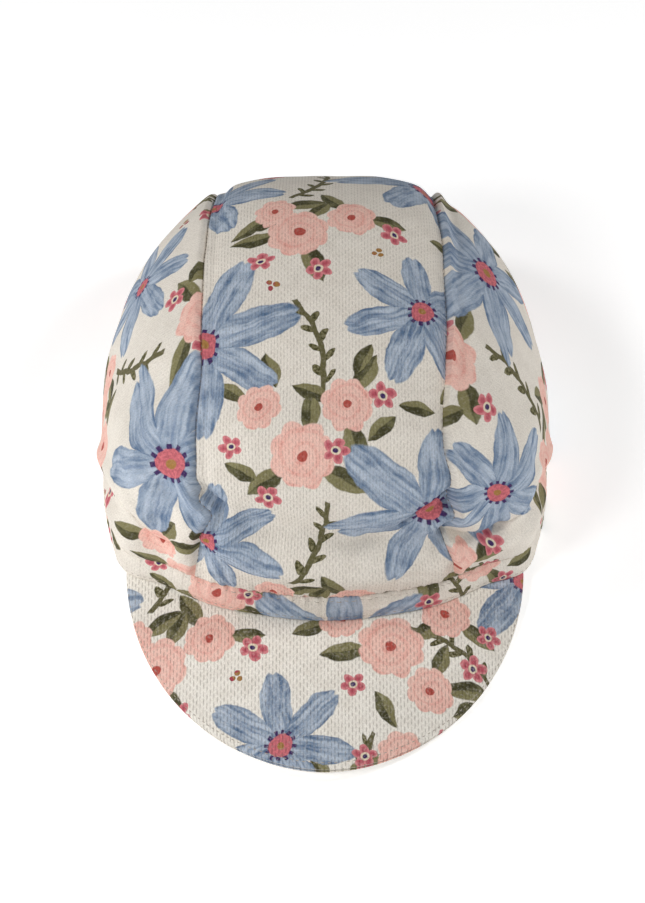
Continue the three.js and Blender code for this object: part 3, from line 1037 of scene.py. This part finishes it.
def sprigs(p, place, paint, grain):
    """A bent stem with slanted leaflets on both sides."""
    here, _, _ = p.nearest(place, SPRIGS)
    x, y = p.parts(here)
    bent = p.maths("MULTIPLY_ADD", p.times(y, y), 0.22, p.minus(x, 0.1))
    inside = p.fall(p.absolute(y), 0.97, 1.0)
    stem = p.times(p.fall(p.absolute(bent), 0.045, 0.06), inside)
    side = p.maths("GREATER_THAN", bent, 0.0)
    step = p.maths("MULTIPLY_ADD", y, 1 / LEAFLET_PITCH, p.times(side, 0.5))
    share = p.minus(p.maths("FRACT", step), 0.5)
    away = p.absolute(bent)
    rise = p.times(share, LEAFLET_PITCH)
    c, s = math.cos(LEAFLET_SLANT), math.sin(LEAFLET_SLANT)
    along = p.maths("MULTIPLY_ADD", away, c, p.times(rise, s))
    across = p.maths("MULTIPLY_ADD", rise, c, p.times(away, -s))
    oval = p.fall(p.oval(along, across, 0.15, 0.155, 0.062), 0.85, 1.15)
    leaflet = p.times(oval, p.fall(p.absolute(y), 0.8, 0.86))
    tint = p.mix(p.ramp(grain, 0.35, 0.65), DARK_OLIVE, OLIVE)
    return p.mix(stem, p.mix(leaflet, paint, tint), BARK)


def leaves(p, place, paint, wash):
    """Leaves with a pale rib and one darker half."""
    here, _, _ = p.nearest(place, leaf_rows(), LEAF_HALF_WIDTH)
    x, y = p.parts(here)
    edge = p.minus(p.absolute(x), p.minus(1.0, p.times(y, y)))
    leaf = p.fall(edge, -0.08, 0.08)
    half = p.mix(p.ramp(x, -0.05, 0.05), DARK_OLIVE, OLIVE)
    half = p.mix(p.ramp(wash, 0.4, 0.7, 0.0, 0.6), half, PALE_OLIVE)
    ribbed = p.mix(p.ramp(p.absolute(x), 0.04, 0.12, 0.5, 0.0), half, RIB_OLIVE)
    return p.mix(leaf, paint, ribbed)


def blooms(p, place, paint, wash, grain):
    """Large blooms with broad, separate petals, notched at the tip, round a rose heart."""
    here, out, number = p.nearest(place, BLOOMS)
    along, across, petal, _ = p.petals(here, BLOOM_PETALS, number)
    chance = p.hashed(petal)
    stretched = p.maths("DIVIDE", along, p.maths("MULTIPLY_ADD", chance, 0.2, 0.8))
    half_width = p.maths("MULTIPLY_ADD", chance, 0.05, 0.15)
    oval = p.oval(stretched, across, 0.55, 0.45, half_width)
    notch = p.ramp(p.plus(p.times(p.absolute(across), 1.6), 0.93), 0.9, 1.1)
    tip = p.minus(stretched, p.times(notch, 0.12))
    petals = p.times(p.fall(oval, 0.92, 1.08), p.fall(tip, 0.93, 0.96))
    strokes = p.noise(p.joined(p.times(along, 2.2), p.times(across, 21.0), petal), 1.0, 3.0)
    depth = p.plus(p.ramp(strokes, 0.32, 0.72, 0.0, 0.75), p.ramp(wash, 0.4, 0.7, 0.0, 0.35))
    depth = p.maths("ADD", depth, p.ramp(oval, 0.6, 1.0, 0.0, 0.22), clamp=True)
    blue = p.mix(depth, PALE_BLUE, DEEP_BLUE)
    vein = p.ramp(p.absolute(across), 0.006, 0.02, 0.22, 0.0)
    blue = p.mix(p.times(vein, p.fall(stretched, 0.5, 0.8)), blue, VEIN_BLUE)
    paint = p.mix(petals, paint, blue)
    heart = p.fall(out, 0.125, 0.14)
    paint = p.mix(heart, paint, p.mix(p.ramp(grain, 0.35, 0.75), ROSE, DEEP_ROSE))
    _, stamen, _, _ = p.petals(here, BLOOM_STAMENS)
    dots = p.fall(p.absolute(stamen), 0.014, 0.026)
    dots = p.times(dots, p.fall(p.absolute(p.minus(out, 0.15)), 0.018, 0.028))
    paint = p.mix(dots, paint, PURPLE)
    return p.mix(p.fall(out, 0.035, 0.05), paint, OCHRE)


def rosettes(p, place, paint, wash, grain):
    """Rosettes with a scalloped edge and a wound stroke."""
    here, out, _ = p.nearest(place, [(x, y, radius, 0) for x, y, radius, _ in ROSETTES])
    _, _, _, angle = p.petals(here, ROSETTE_SCALLOPS)
    scallop = p.maths("MULTIPLY_ADD", p.times(angle, angle), 0.9, out)
    rosette = p.fall(scallop, 0.96, 1.02)
    x, y = p.parts(here)
    wound = p.maths("SINE", p.plus(p.maths("ARCTAN2", y, x), p.times(out, 17.0)))
    stroke = p.times(p.ramp(wound, 0.25, 0.9, 0.0, 0.55), p.ramp(grain, 0.3, 0.62))
    depth = p.maths("ADD", stroke, p.ramp(wash, 0.45, 0.7, 0.0, 0.35), clamp=True)
    peach = p.mix(depth, PEACH, DEEP_PEACH)
    peach = p.mix(p.fall(out, 0.15, 0.19), peach, BRICK)
    return p.mix(rosette, paint, peach)


def starlets(p, place, paint):
    """Small roses with five round petals and a pale eye."""
    here, out, _ = p.nearest(place, STARLETS)
    along, across, _, _ = p.petals(here, STARLET_PETALS)
    oval = p.oval(along, across, 0.56, 0.42, 0.34)
    starlet = p.fall(oval, 0.85, 1.1)
    rose = p.mix(p.ramp(oval, 0.0, 0.7, 0.0, 0.8), INNER_ROSE, OUTER_ROSE)
    paint = p.mix(starlet, paint, rose)
    paint = p.mix(p.fall(out, 0.3, 0.36), paint, SAND)
    return p.mix(p.fall(out, 0.16, 0.22), paint, PURPLE)


def berries(p, place, paint, wash):
    """Berries in threes."""
    here, _, _ = p.nearest(place, BERRIES)
    along, across, _, _ = p.petals(here, BERRIES_TOGETHER)
    berry = p.fall(p.oval(along, across, 0.55, 0.4, 0.4), 0.8, 1.1)
    return p.mix(berry, paint, p.mix(p.ramp(wash, 0.45, 0.55), DEEP_ROSE, OCHRE))


def printed_knit(name, cream, width, length, depth, sheer):
    """Cream knit with a floral print and eyelets of this width, length and depth of shade."""
    p = Paint(name)
    source = p.nodes.new("ShaderNodeUVMap")
    source.uv_map = "cloth"
    flat = source.outputs[0]

    wobble = p.vector("SUBTRACT", p.noise(flat, 0.11, 3.0, colour=True), (0.5, 0.5, 0.5))
    place = p.vector("MULTIPLY_ADD", wobble, (3.4, 3.4, 0.0), flat)
    wash = p.noise(flat, 0.16, 4.0)
    grain = p.noise(flat, 0.9, 3.0)
    paint = p.mix(p.ramp(wash, 0.35, 0.7, 0.0, 0.3), cream, SHADED_CREAM)
    paint = sprigs(p, place, paint, grain)
    paint = leaves(p, place, paint, wash)
    paint = blooms(p, place, paint, wash, grain)
    paint = rosettes(p, place, paint, wash, grain)
    paint = starlets(p, place, paint)
    paint = berries(p, place, paint, wash)

    # The print thins a little on the knit, and the inside of the cloth is plain
    paint = p.mix(p.times(p.ramp(grain, 0.45, 0.75), sheer), paint, cream)
    paint = p.mix(p.value_of("inside"), paint, LINING)

    # Eyelets in rows set off by half a step, and fine stitches between them
    u, v = p.parts(flat)
    column = p.maths("DIVIDE", u, width)
    number = p.maths("FLOOR", column)
    sideways = p.minus(p.minus(column, number), 0.5)
    offset = p.times(p.maths("FLOORED_MODULO", number, 2.0), 0.5)
    row = p.plus(p.maths("DIVIDE", v, length), offset)
    upwards = p.minus(p.maths("FRACT", row), 0.5)
    slit = p.fall(p.oval(upwards, sideways, 0.0, 0.42, 0.2), 0.2, 1.3)
    streak = p.noise(p.vector("MULTIPLY", flat, (1.7, 0.42, 1.0)), 1.0, 2.0)
    slit = p.times(slit, p.ramp(streak, 0.35, 0.6, 0.35, 1.0))
    slit = p.times(slit, p.value_of("eyelets"))
    weave = p.noise(p.vector("MULTIPLY", flat, (2.6, 1.5, 1.0)), 1.0, 2.0)
    woven = p.mix(p.ramp(weave, 0.32, 0.66), WEAVE_SHADE, WHITE)
    shade = p.mix(p.times(slit, depth), woven, EYELET_SHADE)
    colour = p.mix(1.0, paint, shade, blend="MULTIPLY")

    relief = p.plus(p.times(slit, -1.0), p.times(streak, 1.1))
    bump = p.nodes.new("ShaderNodeBump")
    bump.inputs["Strength"].default_value = 0.7
    bump.inputs["Distance"].default_value = 0.00035
    p.put(bump.inputs["Height"], relief)
    p.put(p.shader.inputs["Base Color"], colour)
    p.put(p.shader.inputs["Normal"], bump.outputs[0])
    p.shader.inputs["Roughness"].default_value = 0.88
    p.shader.inputs["Specular IOR Level"].default_value = 0.25
    return p.material


crown_material = printed_knit("crown_knit", CREAM, width=1.2, length=2.7, depth=0.32, sheer=0.1)
# The peak's knit takes the lighter cream, which is painted light for the brighter-lit peak
peak_material = printed_knit("peak_knit", LIT_PEAK_CREAM, width=1.25, length=3.1, depth=0.58, sheer=0.22)
pale_thread = plain("pale_thread", PALE_THREAD)
dark_thread = plain("dark_thread", DARK_THREAD)
for material, pieces in (
    (crown_material, (centre, left, right, band)),
    (peak_material, (peak, under)),
    (pale_thread, (band_threads, peak_threads)),
    (dark_thread, (seam_threads,)),
):
    for piece in pieces:
        piece.data.materials.append(material)


# Floor, lights and camera, in metres

FLOOR_HALF = 3
FLOOR_GLOW = 0.45
SURROUND_STRENGTH = 0.02
LIGHTS_AIM = (0, 0, 0.05)
floor_mesh = bpy.data.meshes.new("floor")
corners = [(x * FLOOR_HALF, y * FLOOR_HALF, 0) for x, y in ((-1, -1), (1, -1), (1, 1), (-1, 1))]
floor_mesh.from_pydata(corners, [], [(0, 1, 2, 3)])
floor = new_object("floor", floor_mesh)
floor_material = plain("floor", (0.9, 0.9, 0.9, 1))
floor_shader = floor_material.node_tree.nodes["Principled BSDF"]
floor_shader.inputs["Emission Color"].default_value = WHITE
floor_shader.inputs["Emission Strength"].default_value = FLOOR_GLOW
floor.data.materials.append(floor_material)
floor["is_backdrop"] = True

scene = bpy.context.scene
scene.view_settings.view_transform = "Standard"
world = bpy.data.worlds.new("surround")
world.use_nodes = True
background = world.node_tree.nodes["Background"]
background.inputs["Color"].default_value = WHITE
background.inputs["Strength"].default_value = SURROUND_STRENGTH
scene.world = world


def area_light(name, place, target, size, power):
    light = bpy.data.lights.new(name, "AREA")
    light.shape = "SQUARE"
    light.size = size
    light.energy = power
    lamp = new_object(name, light)
    lamp.location = place
    lamp.rotation_euler = (Vector(target) - Vector(place)).to_track_quat("-Z", "Y").to_euler()


# Name, place, size and power in watts
LIGHTS = [
    ("left low light", (-0.85, -0.2, 0.30), 0.2, 2.15),
    ("left high light", (-0.6, 0.05, 0.75), 0.2, 2.1),
    ("left front light", (-0.45, -0.5, 0.75), 0.2, 2.3),
    ("front low light", (0.0, -1.0, 0.12), 0.25, 1.35),
    ("right light", (0.85, -0.2, 0.30), 0.2, 1.1),
    ("right high light", (0.6, 0.05, 0.75), 0.2, 2.9),
]
for name, place, size, power in LIGHTS:
    area_light(name, place, LIGHTS_AIM, size, power)

# The camera looks down at the cap; the photo's height, lens and places are counted in its pixels
ELEVATION = math.radians(52)
DISTANCE = 1.2545
AIM = Vector((0, (-30.9 + ORIGIN[1]) * MM, 48.25 * MM))
PHOTO_HEIGHT = 903
FOCAL_LENGTH = 3406
AIM_ROW = 432.6
SIDEWAYS_SHIFT = -2.5
SENSOR = 36
camera_data = bpy.data.cameras.new("camera")
camera = new_object("camera", camera_data)
camera_data.sensor_width = SENSOR
camera_data.lens = FOCAL_LENGTH / PHOTO_HEIGHT * SENSOR
camera_data.shift_x = SIDEWAYS_SHIFT / PHOTO_HEIGHT
back = Vector((0, -math.cos(ELEVATION), math.sin(ELEVATION)))
up = Vector((0, math.sin(ELEVATION), math.cos(ELEVATION)))
drop = (PHOTO_HEIGHT / 2 - AIM_ROW) / FOCAL_LENGTH * DISTANCE
camera.location = AIM + back * DISTANCE
look = (AIM - up * drop) - camera.location
camera.rotation_euler = look.to_track_quat("-Z", "Y").to_euler()
camera_data.clip_start = 0.05
camera_data.clip_end = 20
scene.camera = camera

write_size("model", sizes)
